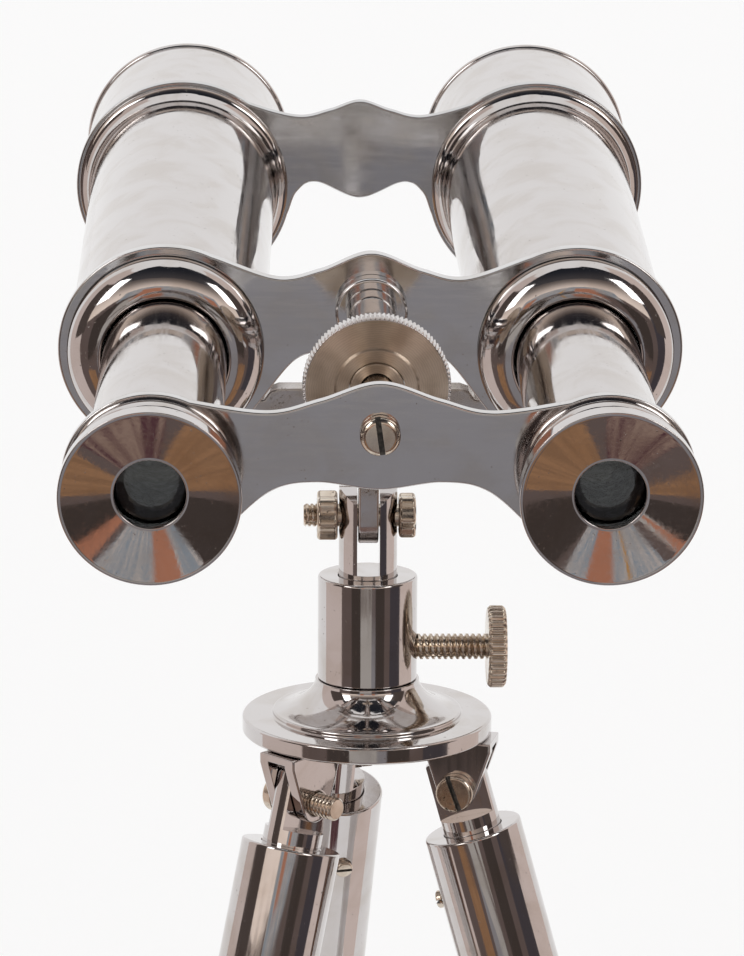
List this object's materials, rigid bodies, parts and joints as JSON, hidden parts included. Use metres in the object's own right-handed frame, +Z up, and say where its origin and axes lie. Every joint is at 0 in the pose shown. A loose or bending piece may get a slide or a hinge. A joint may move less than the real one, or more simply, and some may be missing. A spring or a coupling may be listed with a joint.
{
  "type": "opera glasses on tripod",
  "caption": "Nickel-plated twin-barrel opera glasses with a centre focus wheel, on a tilting head and a tabletop tripod.",
  "frame": {"origin": "on the surface the feet rest on, under the middle of the whole object's box", "axes": "+Z up; +Y from the eyepieces to the objectives, seen from above; +X to the right of a person looking through"},
  "size_m": [0.1442, 0.2008, 0.3172],
  "materials": {
    "polished_nickel": "polished nickel plate",
    "satin_nickel": "flat lapped nickel plate",
    "turned_nickel": "lathe-turned face with a straight knurl",
    "hardware_nickel": "warm nickel-plated brass screws and knobs",
    "glass": "clear optical glass",
    "rubber": "matt black rubber tip"
  },
  "bodies": {
    "base": {"tripod_base": "polished_nickel", "socket_sleeve": "polished_nickel", "base_lug_1": "polished_nickel", "base_lug_2": "polished_nickel", "base_lug_3": "polished_nickel", "leg_screw_1": "hardware_nickel", "leg_screw_2": "hardware_nickel", "leg_screw_3": "hardware_nickel"},
    "head": {"head_post": "polished_nickel", "tilt_bolt": "hardware_nickel", "tilt_bolt_knob": "hardware_nickel"},
    "glasses": {"middle_plate": "satin_nickel", "front_plate": "satin_nickel", "stand_bracket": "satin_nickel", "focus_boss": "satin_nickel", "barrel_left": "polished_nickel", "barrel_right": "polished_nickel", "barrel_cap_left": "polished_nickel", "barrel_cap_right": "polished_nickel", "objective_hood_left": "polished_nickel", "objective_hood_right": "polished_nickel", "objective_lens_left": "glass", "objective_lens_right": "glass", "objective_ring_left": "satin_nickel", "objective_ring_right": "satin_nickel"},
    "carriage": {"rear_plate": "satin_nickel", "focus_spindle": "hardware_nickel", "spindle_screw": "hardware_nickel", "eyecup_left": "polished_nickel", "eyecup_right": "polished_nickel", "eyepiece_collar_left": "polished_nickel", "eyepiece_collar_right": "polished_nickel", "eye_lens_left": "glass", "eye_lens_right": "glass", "draw_tube_left": "polished_nickel", "draw_tube_right": "polished_nickel"},
    "focus_drive": {"focus_wheel": "turned_nickel", "focus_hub": "polished_nickel", "hub_nut": "hardware_nickel"},
    "tilt_nut": {"tilt_nut": "hardware_nickel"},
    "clamp": {"clamp_screw": "hardware_nickel", "clamp_knob": "hardware_nickel"},
    "leg_1": {"leg_plug_1": "polished_nickel", "leg_tube_1": "polished_nickel", "leg_set_screw_1": "hardware_nickel", "leg_foot_1": "rubber"},
    "leg_2": {"leg_plug_2": "polished_nickel", "leg_tube_2": "polished_nickel", "leg_set_screw_2": "hardware_nickel", "leg_foot_2": "rubber"},
    "leg_3": {"leg_plug_3": "polished_nickel", "leg_tube_3": "polished_nickel", "leg_set_screw_3": "hardware_nickel", "leg_foot_3": "rubber"}
  },
  "joints": [
    {"name": "pan", "type": "hinge", "parent": "base", "child": "head", "pos_m": [-0.01037, -0.01929, 0.251], "axis": [0, 0, 1], "continuous": true},
    {"name": "tilt", "type": "hinge", "parent": "head", "child": "glasses", "pos_m": [-0.01037, -0.01929, 0.251], "axis": [1, 0, 0], "range_deg": [-52, 37]},
    {"name": "focus_slide", "type": "slide", "parent": "glasses", "child": "carriage", "axis": [0, 0.9912, 0.1323], "range_m": [-0.008, 0.012]},
    {"name": "focus_turn", "type": "hinge", "parent": "glasses", "child": "focus_drive", "pos_m": [-0.01037, -0.09966, 0.27871], "axis": [0, 0.9912, 0.1323], "range_deg": [-580, 870]},
    {"name": "tilt_nut_turn", "type": "hinge", "parent": "head", "child": "tilt_nut", "pos_m": [-0.01712, -0.01929, 0.251], "axis": [-1, 0, 0], "range_deg": [0, 540]},
    {"name": "clamp_turn", "type": "hinge", "parent": "base", "child": "clamp", "pos_m": [-0.01037, -0.01929, 0.2287], "axis": [1, 0, 0], "range_deg": [0, 1080]},
    {"name": "leg_1_fold", "type": "hinge", "parent": "base", "child": "leg_1", "pos_m": [0.00515, -0.02316, 0.206], "axis": [0.2419, 0.9703, 0], "range_deg": [0, 16]},
    {"name": "leg_2_fold", "type": "hinge", "parent": "base", "child": "leg_2", "pos_m": [-0.02149, -0.0308, 0.206], "axis": [0.7193, -0.6947, 0], "range_deg": [0, 16]},
    {"name": "leg_3_fold", "type": "hinge", "parent": "base", "child": "leg_3", "pos_m": [-0.01478, -0.00391, 0.206], "axis": [-0.9613, -0.2756, 0], "range_deg": [0, 16]}
  ],
  "couplings": [
    {"joint": "focus_turn", "follows": "focus_slide", "rad_per_m": 1256.6}
  ]
}
